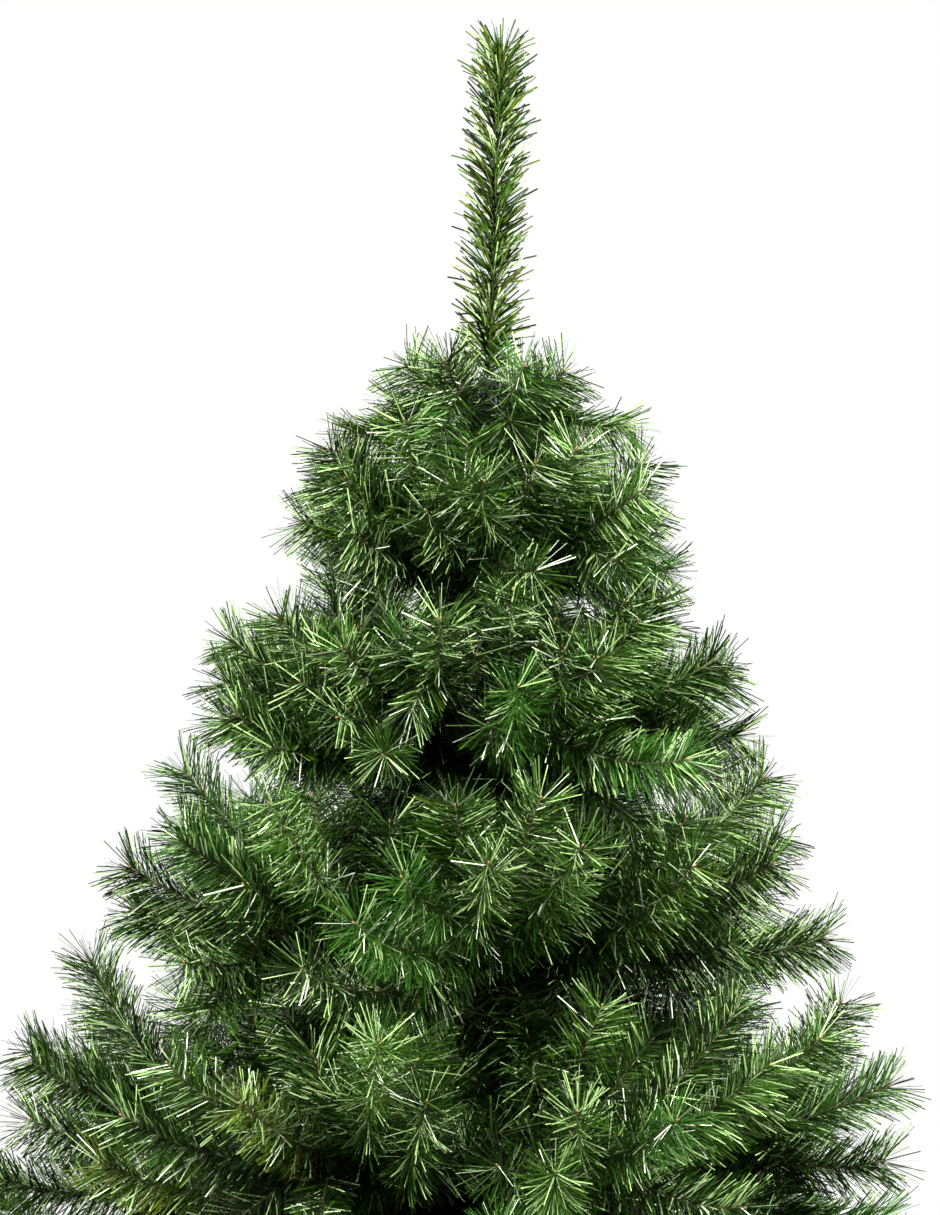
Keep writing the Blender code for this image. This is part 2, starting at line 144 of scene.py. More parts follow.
def join(form, part, matrix):
    # adds one finished bmesh to another, at its place
    bmesh.ops.transform(part, matrix=matrix, verts=part.verts)
    scrap = bpy.data.meshes.new("scrap")
    part.to_mesh(scrap)
    part.free()
    form.from_mesh(scrap)
    bpy.data.meshes.remove(scrap)


def turn(form, profile, steps, matrix=Matrix(), closed=False):
    # a profile of (radius, height) pairs turned once round the Z axis
    part = bmesh.new()
    verts = [part.verts.new((radius, 0, height)) for radius, height in profile]
    pairs = list(zip(verts, verts[1:])) + ([(verts[-1], verts[0])] if closed else [])
    edges = [part.edges.new(pair) for pair in pairs]
    bmesh.ops.spin(
        part, geom=verts + edges, axis=(0, 0, 1), angle=2 * math.pi, steps=steps, use_merge=True
    )
    join(form, part, matrix)


def block(form, size, bevel, matrix):
    # a block with its edges rounded
    part = bmesh.new()
    bmesh.ops.create_cube(part, size=1)
    bmesh.ops.scale(part, vec=size, verts=part.verts)
    bmesh.ops.bevel(
        part, geom=part.edges[:], offset=bevel, segments=2, profile=0.5, affect="EDGES", material=-1
    )
    join(form, part, matrix)


# The growth rule of the solids, with the same draws


def crownReach(height):
    # works on one height or on an array of them
    cone = crown["ringRadius"] + crown["slope"] * (crown["ringHeight"] - height)
    shoulder = crown["shoulderSlope"] * (crown["shoulderTop"] - height)
    return np.minimum(np.minimum(cone, shoulder), crown["radius"])


def tierHeight(tier):
    return tiers["topHeight"] - tiers["step"] * tier - tiers["stepGrowth"] * tier**2


def tierRise(tier):
    share = tier / (tiers["count"] - 1)
    return tiers["topRise"] + (tiers["lowRise"] - tiers["topRise"]) * share


def boughLevel(tier, radius):
    return tierHeight(tier) + tierRise(tier) * radius


def tipHeight(tier):
    # where a tier's boughs meet the outline, on its cone or its shoulder
    rise = tierRise(tier)
    level = crown["ringRadius"] + crown["slope"] * crown["ringHeight"]
    onCone = (tierHeight(tier) + rise * level) / (1 + rise * crown["slope"])
    level = crown["shoulderSlope"] * crown["shoulderTop"]
    onShoulder = (tierHeight(tier) + rise * level) / (1 + rise * crown["shoulderSlope"])
    return min(onCone, onShoulder)


def edgeBelow(tier, radius):
    foot = (tierHeight(tier) + tierHeight(tier + 1)) / 2
    rise = (tierRise(tier) + tierRise(tier + 1)) / 2
    return max(crown["foot"], foot + rise * radius)


def topOfBand(tier, radius):
    return crown["top"] if tier == 0 else edgeBelow(tier - 1, radius)


def boughAzimuth(tier, place):
    return halfWedge * (2 * place + tier % 2)


def hasLimb(tier):
    return tier >= tiers["count"] - tiers["limbTiers"]


def polar(radius, azimuth, height):
    return Vector((radius * math.cos(azimuth), radius * math.sin(azimuth), height))


def collarEdge(tier):
    lean = math.sin(math.atan(tierRise(tier)))
    return pole["collarRadius"] + pole["gap"] + pole["stem"] * lean


def stemStart(tier):
    # the two lowest tiers have a bare limb between the collar and the stem
    edge = collarEdge(tier)
    if not hasLimb(tier):
        return edge
    return edge + tiers["limbShare"] * (crownReach(tipHeight(tier)) - edge)


def inSpace(point, tier, place):
    # whether a point is clear of the boughs beside it, the tiers above and below, and the pole
    radius = math.hypot(point.x, point.y)
    aside = math.atan2(point.y, point.x) - boughAzimuth(tier, place)
    aside = (aside + math.pi) % (2 * math.pi) - math.pi
    room = tiers["clearance"]
    if abs(aside) > halfWedge or radius * math.sin(halfWedge - abs(aside)) < room:
        return False
    if radius < pole["collarRadius"] + room or point.z > topOfBand(tier, radius) - room:
        return False
    if point.z < edgeBelow(tier, radius) + room:
        return False
    inLeader = radius < crown["leaderRadius"] + room
    return not (tier == 0 and inLeader and point.z > pole["top"] - pole["collarHeight"])


def jitter(draw, size):
    return draw.uniform(-size, size)


def twigEnds(tier, place):
    # start and end of each twig that the solids of this bough have, the main stem first
    draw = random.Random(tiers["seed"] * 1000 + tier * 100 + place)
    azimuth = boughAzimuth(tier, place)
    level = tipHeight(tier)
    start = stemStart(tier)
    reach = crownReach(level) - tiers["endNeedle"]
    root = polar(start, azimuth, boughLevel(tier, start))
    tipAside = jitter(draw, branching["tipAside"]) * halfWedge
    tip = polar(reach - draw.uniform(0, tiers["stemShortfall"]), azimuth + tipAside, level)
    twigs = [(root, tip)]
    hand = draw.choice((-1, 1))
    phase = draw.random()
    count = tiers["outer"][tier]
    room = tiers["twigRoom"]
    low = edgeBelow(tier, reach) + room
    high = topOfBand(tier, reach) - room
    for index in range(count):
        share = index / max(count - 1, 1)
        along = branching["outerFrom"] + branching["outerSpan"] * share
        along += jitter(draw, branching["jitter"])
        aside = branching["outerAside"] - branching["asideLoss"] * share
        aside = hand * (aside + jitter(draw, branching["asideJitter"])) * halfWedge
        height = low + (high - low) * ((phase + branching["heightTurn"] * index) % 1)
        shortfall = tiers["endNeedle"] + draw.uniform(0, tiers["twigShortfall"])
        radius = crownReach(height) - shortfall
        twigs.append((root.lerp(tip, along), polar(radius, azimuth + aside, height)))
        hand = -hand
    for index in range(tiers["inner"][tier]):
        along = branching["innerFrom"] + branching["innerStep"] * index
        foot = root.lerp(tip, along + jitter(draw, branching["jitter"]))
        radius = math.hypot(foot.x, foot.y) + draw.uniform(*branching["innerLength"])
        if (index + place) % 2:
            height = topOfBand(tier, radius) - room
        else:
            height = edgeBelow(tier, radius) + room
        aside = hand * draw.uniform(*branching["innerAside"]) * halfWedge
        twigs.append((foot, polar(radius, azimuth + aside, height)))
        hand = -hand
    return twigs


def twigPath(start, end, sag):
    # sags a little on its way, and its end turns up
    steps = tiers["pathSteps"]
    length = (end - start).length
    points = [start.lerp(end, step / steps) for step in range(steps + 1)]
    for step, point in enumerate(points):
        share = step / steps
        late = max(0, (share - tiers["upturnFrom"]) / (1 - tiers["upturnFrom"]))
        point.z -= 4 * sag * length * share * (1 - share)
        point.z += tiers["upturn"] * length * late**2
    return points


# Finer sprigs that the solids leave out: some aside from every twig, and steep ones that fill
# the gaps round the stems

sprig = {
    "pitch": 0.070, "from": 0.10, "to": 0.64, "length": (0.150, 0.250), "atRoot": 1.15,
    "lossToTip": 0.35, "spread": (16, 36), "lift": (-0.60, 0.80), "curl": 0.10, "steps": 5,
    "shortest": 0.050, "room": 0.032, "retries": 5, "shrink": 0.8,
    "within": (0.46, 0.90), "topWithin": (0.74, 1.0), "topTiers": 3,
}
fill = {
    "pitch": 0.019, "to": 0.88, "longest": 0.19, "past": 0.03, "aside": 1.3,
    "lean": (0.35, 0.90), "topPitch": 0.013, "topLean": (-0.20, 0.60),
}


def inCrown(point, within):
    # sprigs stop at a share of the reach, so that the twigs' ends stand clear of them
    radius = math.hypot(point.x, point.y)
    if not crown["foot"] + sprig["room"] < point.z < crown["top"] - sprig["room"]:
        return False
    return pole["collarRadius"] < radius < within * crownReach(point.z) - sprig["room"]


def sideSprigs(tier, path, draw):
    # sprigs to either side of a twig in turn, shorter towards its tip
    length = (path[-1] - path[0]).length
    count = round(length * (sprig["to"] - sprig["from"]) / sprig["pitch"])
    hand = draw.choice((-1, 1))
    within = draw.uniform(*sprig["topWithin" if tier < sprig["topTiers"] else "within"])
    found = []
    for index in range(count):
        share = sprig["from"] + (sprig["to"] - sprig["from"]) * (index + draw.random()) / count
        place = share * (len(path) - 1)
        step = min(int(place), len(path) - 2)
        base = path[step].lerp(path[step + 1], place - step)
        ahead = (path[step + 1] - path[step]).normalized()
        level = ahead.cross(Vector((0, 0, 1))).normalized()
        above = level.cross(ahead)
        lift = draw.uniform(*sprig["lift"])
        aside = level * hand * math.cos(lift) + above * math.sin(lift)
        spread = math.radians(draw.uniform(*sprig["spread"]))
        heading = ahead * math.cos(spread) + aside * math.sin(spread)
        reach = draw.uniform(*sprig["length"]) * (sprig["atRoot"] - sprig["lossToTip"] * share)
        hand = -hand
        for _ in range(sprig["retries"]):
            tip = base + heading * reach + Vector((0, 0, sprig["curl"] * reach))
            if inCrown(tip, within):
                break
            reach *= sprig["shrink"]
        if reach < sprig["shortest"] or not inCrown(tip, within):
            continue
        parts = [step / sprig["steps"] for step in range(sprig["steps"] + 1)]
        found.append([
            base + heading * reach * part + Vector((0, 0, sprig["curl"] * reach * part**2))
            for part in parts
        ])
    return found


def fillSprigs(tier, stem, draw):
    # steep sprigs from the inner stem, up and down into the gap towards the next tier; those of
    # the top tier stand closer, round the end of the pole
    found = []
    pitch, lean = ("topPitch", "topLean") if tier == 0 else ("pitch", "lean")
    count = round((stem[-1] - stem[0]).length * fill["to"] / fill[pitch])
    ahead = (stem[-1] - stem[0]).normalized()
    level = ahead.cross(Vector((0, 0, 1))).normalized()
    for index in range(count):
        share = fill["to"] * (index + draw.random()) / count
        base = stem[0].lerp(stem[-1], share)
        upward = 1 if index % 2 else -1
        heading = ahead * draw.uniform(*fill[lean]) + Vector((0, 0, upward))
        heading = (heading + level * draw.uniform(-1, 1) * fill["aside"]).normalized()
        radius = math.hypot(base.x, base.y)
        edge = topOfBand(tier, radius) if upward > 0 else edgeBelow(tier, radius)
        reach = min(fill["longest"], abs(edge - base.z) / abs(heading.z) + fill["past"])
        tip = base + heading * reach
        if reach > sprig["shortest"] and inCrown(tip, draw.uniform(*sprig["within"])):
            steps = sprig["steps"]
            found.append([base.lerp(tip, step / steps) for step in range(steps + 1)])
    return found


def boughPaths(tier, place):
    # every wire of one bough as (path, kind of wire), the stem first
    paths = []
    for number, (start, end) in enumerate(twigEnds(tier, place)):
        path = twigPath(start, end, 0 if number == 0 else tiers["sag"])
        if number == 0:
            foot = polar(collarEdge(tier), boughAzimuth(tier, place), 0)
            foot.z = boughLevel(tier, collarEdge(tier))
            paths.append(([foot] + path if hasLimb(tier) else path, "stem"))
        elif all(inSpace(point, tier, place) for point in path[1:-1]):
            paths.append((path, "twig"))
    draw = random.Random(tiers["seed"] * 77 + tier * 10 + place)
    inside = [(path, "fill") for path in fillSprigs(tier, paths[0][0], draw)]
    aside = [(side, "sprig") for path, _ in paths for side in sideSprigs(tier, path, draw)]
    return paths + inside + aside


# Paths as arrays, for the needles and wires

offAxis = (0.31, 0.17, 0.94)  # a direction that no wire takes, to find what lies across one


def measured(path):
    # a path as an array, its legs, and how far along it each of its points lies
    path = np.array(path)
    legs = np.diff(path, axis=0)
    return path, legs, np.concatenate([[0], np.cumsum(np.linalg.norm(legs, axis=1))])


def acrossWire(ahead):
    # two directions at right angles to a wire and to each other
    side = np.cross(ahead, offAxis)
    side /= np.linalg.norm(side, axis=-1, keepdims=True)
    return side, np.cross(side, ahead)


# Needles, with angles in degrees but turnSpread in radians

needle = {
    "length": 0.048, "lengthSpread": (0.80, 1.04), "width": 0.00125, "widthSpread": (0.8, 1.1),
    "narrowTip": 0.85, "perMetre": 2650, "angleSpread": 6, "turnSpread": 0.4, "roll": (90, 34),
    "sweep": (0.0, 0.35), "topSweep": (0.10, 0.60), "overReach": 0.022, "leaderSeed": 5,
}
goldenAngle = 2.39996  # in radians, the turn from one needle to the next round its wire
# by kind of wire: its bare share, the needles' angle at its root and at its tip, density
brushes = {
    "stem": (0.02, 56, 46, 1.35), "twig": (0.04, 56, 46, 1.35),
    "sprig": (0.03, 58, 48, 1.0), "fill": (0, 62, 56, 1.15), "leader": (0, 58, 44, 1.3),
}
# an untidy brush has its own spread of angles, shortest share of length, and share of width
untidy = {"leader": (13, 0.62, 1.7)}
# three plain greens from dark to light, two pale ones that are painted highlights, an olive and a
# cool one
greens = ("#051000", "#102403", "#284809", "#7e995f", "#c2d0b2", "#3e490d", "#224a11")
# how often each green is a whole spray's own, and how often it is an odd needle's
ownShares = {
    "usual": (0.22, 0.32, 0.30, 0.0, 0.0, 0.04, 0.12),
    # the innermost sprays take mostly the darkest greens, as painted shade
    "fill": (0.55, 0.35, 0.10, 0.0, 0.0, 0.0, 0.0),
}
# odd needles take the plain greens as tone that differs at random, and the two pale ones as painted
# highlights
oddAndHighlightShares = {
    "usual": (0.32, 0.20, 0.17, 0.24, 0.04, 0.01, 0.02),
    "leader": (0.34, 0.14, 0.14, 0.08, 0.02, 0.28, 0.0),
}
# the innermost sprays have fewer odd needles, so their painted shade stays dark
oddNeedles = {"usual": 0.58, "fill": 0.25, "leader": 1}
# needles near a spray's tip are dealt one step lighter: partly a paler tip colour, partly painted
# light on the outer needles
tipLighterAndLit = {"from": 0.62, "share": 0.26, "below": 3}
# needles near a spray's root are dealt a darker green: painted shade
paintedRootShade = {"to": 0.42, "share": 0.50, "darkest": (0, 1)}
film = {"dust": 0.040, "shiny": 0.36, "dull": 0.52, "specular": 0.22, "shine": "#ecffd0"}


def stripNeedles(path, kind, sweep, rng):
    # flat, straight strips of film, narrower and cut square at the tip, all swept down a little
    bare, rootAngle, tipAngle, density = brushes[kind]
    path, legs, ends = measured(path)
    count = int(ends[-1] * (1 - bare) * needle["perMetre"] * density)
    tidy = (needle["angleSpread"], needle["lengthSpread"][0], 1)
    spread, shortest, wide = untidy.get(kind, tidy)
    share = bare + (1 - bare) * (np.arange(count) + rng.random(count)) / count
    step = np.clip(np.searchsorted(ends, share * ends[-1]) - 1, 0, len(legs) - 1)
    part = (share * ends[-1] - ends[step]) / (ends[step + 1] - ends[step])
    root = path[step] + legs[step] * part[:, None]
    ahead = legs[step] / np.linalg.norm(legs[step], axis=1, keepdims=True)
    side, over = acrossWire(ahead)
    place = goldenAngle * np.arange(count) + rng.normal(0, needle["turnSpread"], count)
    outward = side * np.cos(place)[:, None] - over * np.sin(place)[:, None]
    around = np.cross(ahead, outward)
    angle = rootAngle + (tipAngle - rootAngle) * share
    angle = np.radians(angle + rng.normal(0, spread, count))[:, None]
    length = needle["length"] * rng.uniform(shortest, needle["lengthSpread"][1], count)[:, None]
    along = ahead * np.cos(angle) + outward * np.sin(angle) - np.array((0, 0, sweep))
    along /= np.linalg.norm(along, axis=1, keepdims=True)
    tip = root + along * length
    # the film's plane holds the wire, so strips look broad from the side and thin end on
    roll = np.radians(rng.normal(*needle["roll"], count))[:, None]
    across = around * np.cos(roll) + np.cross(along, around) * np.sin(roll)
    across *= wide * needle["width"] / 2 * rng.uniform(*needle["widthSpread"], count)[:, None]
    narrow = across * needle["narrowTip"]
    points = np.stack([root - across, root + across, tip + narrow, tip - narrow], axis=1)
    keep = np.hypot(tip[:, 0], tip[:, 1]) < crownReach(tip[:, 2]) + needle["overReach"]
    keep |= tip[:, 2] > pole["top"]
    return points[keep], share[keep]


def dealGreens(share, kind, rng):
    # the green of each needle at its share of a spray: the spray's own or an odd one, some one
    # step lighter towards the tip, partly as painted light, and some darkest at the root, as
    # painted shade
    count = len(share)
    own = rng.choice(len(greens), p=ownShares.get(kind, ownShares["usual"]))
    odd = rng.choice(len(greens), size=count, p=oddAndHighlightShares.get(kind, oddAndHighlightShares["usual"]))
    isOdd = rng.random(count) < oddNeedles.get(kind, oddNeedles["usual"])
    shade = np.where(isOdd, odd, own)
    # one step lighter at the tip: partly a paler tip colour, partly painted light
    lighter = (share > tipLighterAndLit["from"]) & (rng.random(count) < tipLighterAndLit["share"])
    shade = np.where(lighter & (shade < tipLighterAndLit["below"]), shade + 1, shade)
    if kind == "leader":
        return shade
    # painted shade: a darker green near the root
    paintedDarker = (share < paintedRootShade["to"]) & (rng.random(count) < paintedRootShade["share"])
    return np.where(paintedDarker, np.clip(shade - 1, *paintedRootShade["darkest"]), shade)


def needlePiece(name, sprays, materials, seed, sweeps):
    # sprays is a list of (path, kind of wire)
    rng = np.random.default_rng(seed)
    strips = []
    shades = []
    for path, kind in sprays:
        strip, share = stripNeedles(path, kind, rng.uniform(*sweeps), rng)
        strips.append(strip)
        shades.append(dealGreens(share, kind, rng))
    points = np.concatenate(strips)
    corners = np.arange(4 * len(points))
    print(name, len(points), "needles")
    return pieceFromArrays(
        name, points.reshape(-1, 3), corners, corners[::4], np.concatenate(shades), materials,
    )


def needleMaterials():
    # calendered PVC film, slit into strips: an even colour with a faint green waxy shine that dust
    # dulls; the films in the two pale greens are painted highlights
    made = []
    for number, colour in enumerate(greens):
        material, shader = newMaterial(
            f"slit PVC film {number + 1}",
            Base_Color=(*linearColour(colour), 1),
            Specular_IOR_Level=film["specular"],
            Specular_Tint=(*linearColour(film["shine"]), 1),
        )
        where = addNode(material, "ShaderNodeTexCoord")
        dust = addNode(
            material, "ShaderNodeTexNoise",
            {"Scale": 1 / film["dust"], "Detail": 2.0}, {"Vector": (where, "Object")},
        )
        dull = addNode(
            material, "ShaderNodeMapRange",
            {"To Min": film["shiny"], "To Max": film["dull"]}, {"Value": (dust, "Fac")},
        )
        link(material, dull, "Result", shader, "Roughness")
        made.append(material)
    return made


# Wires: two strands twisted together, with cut ends

wire = {
    "radii": {"twig": 0.0014, "sprig": 0.0011, "fill": 0.0011}, "taper": 0.75, "sides": 4,
    "tipLength": 0.004, "tipRadius": 0.0011, "tipTaper": 0.9, "nestle": 0.95,
    "worn": 0.012, "rust": 0.020,
}
# a twisted pair: the radius of a strand, the pitch, a strand's sides, and its steps in a turn
twists = {
    "leader": (0.0011, 0.012, 4, 8), "stem": (0.0011, 0.016, 4, 6), "limb": (0.0026, 0.022, 6, 12),
}
# the leader's wire starts just above the pole, and its bends keep it from being dead straight
leader = {"clear": 0.001, "bends": ((0.001, 0, 1.55), (-0.001, 0.001, 1.66))}


def tubeAlong(path, radius, taper=wire["taper"], sides=wire["sides"]):
    # rings of points along a path, and the faces between them and over both ends
    path, legs, _ = measured(path)
    legs /= np.linalg.norm(legs, axis=1, keepdims=True)
    side, over = acrossWire(np.concatenate([legs[:1], legs]))
    angles = 2 * np.pi * np.arange(sides) / sides
    last = len(path) - 1
    rings = []
    for n, centre in enumerate(path):
        size = radius * (1 - (1 - taper) * n / last)
        around = np.outer(np.cos(angles), side[n]) + np.outer(np.sin(angles), over[n])
        rings.append(centre + size * around)
    faces = []
    for low in range(0, last * sides, sides):
        high = low + sides
        for k in range(sides):
            faces.append((low + k, high + k, high + (k + 1) % sides, low + (k + 1) % sides))
    faces.append(tuple(last * sides + k for k in reversed(range(sides))))
    faces.append(tuple(range(sides)))
    return np.concatenate(rings), faces


def twistedPair(path, strand, pitch, sides, stepsInTurn):
    # two strands wound round each other along a path
    path, _, ends = measured(path)
    along = np.linspace(0, ends[-1], int(ends[-1] / pitch * stepsInTurn) + 2)
    centres = np.stack([np.interp(along, ends, path[:, k]) for k in range(3)], axis=1)
    side, over = acrossWire((path[-1] - path[0]) / np.linalg.norm(path[-1] - path[0]))
    tubes = []
    for phase in (0, math.pi):
        angle = 2 * math.pi * along / pitch + phase
        offset = np.outer(np.cos(angle), side) + np.outer(np.sin(angle), over)
        tubes.append(tubeAlong(centres + strand * wire["nestle"] * offset, strand, 1.0, sides))
    return tubes


def joinTubes(name, tubes, material):
    points = []
    corners = []
    starts = []
    base = 0
    total = 0
    for ring, faces in tubes:
        points.append(ring)
        for face in faces:
            corners.extend(base + v for v in face)
            starts.append(total)
            total += len(face)
        base += len(ring)
    return pieceFromArrays(
        name, np.concatenate(points), np.array(corners), np.array(starts),
        np.zeros(len(starts)), [material],
    )


def wireMaterials():
    # drawn steel wire, lacquered brown before it is twisted: dull, with lacquer worn thin in spots
    wound, shader = newMaterial("lacquered twisted wire", Metallic=0.25)
    where = addNode(wound, "ShaderNodeTexCoord")
    worn = addNode(
        wound, "ShaderNodeTexNoise",
        {"Scale": 1 / wire["worn"], "Detail": 3.0}, {"Vector": (where, "Object")},
    )
    colour = addNode(
        wound, "ShaderNodeMix",
        {"data_type": "RGBA", 6: (*linearColour("#2b2613"), 1), 7: (*linearColour("#54452a"), 1)},
        {0: (worn, "Fac")},
    )
    dull = addNode(
        wound, "ShaderNodeMapRange", {"To Min": 0.42, "To Max": 0.62}, {"Value": (worn, "Fac")}
    )
    link(wound, colour, 2, shader, "Base Color")
    link(wound, dull, "Result", shader, "Roughness")
    # sheared ends, where bare steel has rusted: tan to rust brown, matt
    sheared, shader = newMaterial("rusted sheared wire end", Roughness=0.7)
    where = addNode(sheared, "ShaderNodeTexCoord")
    rust = addNode(
        sheared, "ShaderNodeTexNoise",
        {"Scale": 1 / wire["rust"], "Detail": 2.0}, {"Vector": (where, "Object")},
    )
    colour = addNode(
        sheared, "ShaderNodeMix",
        {"data_type": "RGBA", 6: (*linearColour("#4a3016"), 1), 7: (*linearColour("#8a6634"), 1)},
        {0: (rust, "Fac")},
    )
    link(sheared, colour, 2, shader, "Base Color")
    return wound, sheared


def growNeedles(boughs):
    # the two smallest tiers share a piece and the two largest are split, so that each piece stays
    # under 200,000 triangles
    materials = needleMaterials()
    half = tiers["boughs"] // 2
    groups = {
        "needles_top": [key for key in boughs if key[0] < 2],
        "needles_tier_3": [key for key in boughs if key[0] == 2],
        "needles_tier_4": [key for key in boughs if key[0] == 3],
    }
    for tier in (4, 5):
        name = f"needles_tier_{tier + 1}"
        groups[name + "_left"] = [(tier, place) for place in range(half)]
        groups[name + "_right"] = [(tier, place) for place in range(half, tiers["boughs"])]
    for number, (name, keys) in enumerate(groups.items()):
        sprays = [spray for key in keys for spray in boughs[key]]
        sweeps = needle["topSweep" if name == "needles_top" else "sweep"]
        piece = needlePiece(name, sprays, materials, tiers["seed"] + number, sweeps)
        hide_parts(*(f"mass_{tier + 1}_{place + 1}" for tier, place in keys))
    spray = [(leaderPath, "leader")]
    brush = needlePiece("leader_needles", spray, materials, needle["leaderSeed"], (0, 0))
    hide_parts("leader")


def windWires(boughs):
    wound, sheared = wireMaterials()
    tubes = twistedPair(leaderPath, *twists["leader"])
    limbs = []
    ends = []
    for (tier, place), paths in boughs.items():
        for path, kind in paths:
            if kind == "stem":
                tubes += twistedPair(path, *twists["stem"])
            else:
                tubes.append(tubeAlong(path, wire["radii"][kind]))
            beyond = path[-1] + (path[-1] - path[-2]).normalized() * wire["tipLength"]
            ends.append(tubeAlong([path[-1], beyond], wire["tipRadius"], wire["tipTaper"]))
        if hasLimb(tier):
            stem = paths[0][0]
            limbs += twistedPair(stem[:2], *twists["limb"])
    joinTubes("wound_wires", tubes, wound)
    joinTubes("sheared_wire_ends", ends, sheared)
    thick = joinTubes("limb_wires", limbs, wound)
    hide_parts(*(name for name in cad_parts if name.startswith("limb_")))


leaderPath = [
    Vector((0, 0, pole["top"] + leader["clear"])), *map(Vector, leader["bends"]),
    Vector((0, 0, treeHeight - tiers["endNeedle"])),
]
grown = {
    (tier, place): boughPaths(tier, place)
    for tier in range(tiers["count"])
    for place in range(tiers["boughs"])
}
print("sprays", sum(len(paths) for paths in grown.values()))
growNeedles(grown)
windWires(grown)
print("wires")


# Pole: steel tube in three swaged sections, and the collars that the boughs hook into

tube = {
    "shoulder": 0.012, "lip": 0.0007, "crimp": 0.0005, "crimpDrops": (0.016, 0.014, 0.011, 0.009),
    "edge": 0.001, "steps": 48, "wear": 0.060, "peel": 0.0025,
}
collar = {
    "bevel": 0.0012, "groove": 0.0012, "grip": 0.0005, "lug": (0.010, 0.010, 0.017),
    "lugRadius": 0.0205, "pin": 0.0016, "pinRadius": 0.0225, "pinPast": 0.003, "pinSteps": 10,
}
moulding = {"handled": 0.018, "grain": 0.0009, "spread": 0.16}


def coatedSteel():
    # thin steel tube, powder coated and baked: satin, with orange peel and rubbed lighter patches
    material, shader = newMaterial("powder-coated steel tube", Metallic=0.0)
    where = addNode(material, "ShaderNodeTexCoord")
    rubbed = addNode(
        material, "ShaderNodeTexNoise",
        {"Scale": 1 / tube["wear"], "Detail": 6.0, "Roughness": 0.62},
        {"Vector": (where, "Object")},
    )
    colour = addNode(
        material, "ShaderNodeMix",
        {"data_type": "RGBA", 6: (*linearColour("#0f160f"), 1), 7: (*linearColour("#222e20"), 1)},
        {0: (rubbed, "Fac")},
    )
    satin = addNode(
        material, "ShaderNodeMapRange", {"To Min": 0.42, "To Max": 0.62}, {"Value": (rubbed, "Fac")}
    )
    # real orange peel is about 1 mm, drawn at 2.5 mm so that it shows
    peel = addNode(
        material, "ShaderNodeTexNoise",
        {"Scale": 1 / tube["peel"], "Detail": 1.0}, {"Vector": (where, "Object")},
    )
    relief = addNode(
        material, "ShaderNodeBump",
        {"Strength": 0.35, "Distance": 0.0003}, {"Height": (peel, "Fac")},
    )
    link(material, colour, 2, shader, "Base Color")
    link(material, satin, "Result", shader, "Roughness")
    link(material, relief, "Normal", shader, "Normal")
    return material


def mouldedPlastic(name, dark, light, rough):
    # injection-moulded polypropylene: fine spark-eroded grain, paler where it has been handled
    material, shader = newMaterial(name, IOR=1.49)
    where = addNode(material, "ShaderNodeTexCoord")
    handled = addNode(
        material, "ShaderNodeTexNoise",
        {"Scale": 1 / moulding["handled"], "Detail": 4.0}, {"Vector": (where, "Object")},
    )
    colour = addNode(
        material, "ShaderNodeMix",
        {"data_type": "RGBA", 6: (*linearColour(dark), 1), 7: (*linearColour(light), 1)},
        {0: (handled, "Fac")},
    )
    dull = addNode(
        material, "ShaderNodeMapRange",
        {"To Min": rough, "To Max": rough + moulding["spread"]}, {"Value": (handled, "Fac")},
    )
    # the mould's grain is about 0.1 mm, drawn at 0.9 mm so that it shows
    grain = addNode(
        material, "ShaderNodeTexNoise",
        {"Scale": 1 / moulding["grain"], "Detail": 1.0}, {"Vector": (where, "Object")},
    )
    relief = addNode(
        material, "ShaderNodeBump",
        {"Strength": 0.3, "Distance": 0.0001}, {"Height": (grain, "Fac")},
    )
    link(material, colour, 2, shader, "Base Color")
    link(material, dull, "Result", shader, "Roughness")
    link(material, relief, "Normal", shader, "Normal")
    return material


def poleRadius(height):
    return next(radius for radius, top in pole["sections"] if height <= top)


def buildPole(material):
    # where the next section slides in, a section has a crimp and a swaged shoulder with a lip
    form = bmesh.new()
    edge = tube["edge"]
    profile = [(0, pole["foot"]), (pole["sections"][0][0], pole["foot"])]
    for (radius, top), (narrower, _) in zip(pole["sections"], pole["sections"][1:]):
        base = top - tube["shoulder"]
        crimped = radius - tube["crimp"]
        lip = narrower + tube["lip"]
        levels = [base - drop for drop in tube["crimpDrops"]]
        profile += zip((radius, crimped, crimped, radius), levels)
        profile += [(radius, base), (lip, top - edge), (lip, top), (narrower, top)]
    last = pole["sections"][-1][0]
    profile += [(last, pole["top"] - edge), (last - edge, pole["top"]), (0, pole["top"])]
    turn(form, profile, tube["steps"])
    piece = pieceFromForm("pole_tube", form, material)
    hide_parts("trunk")


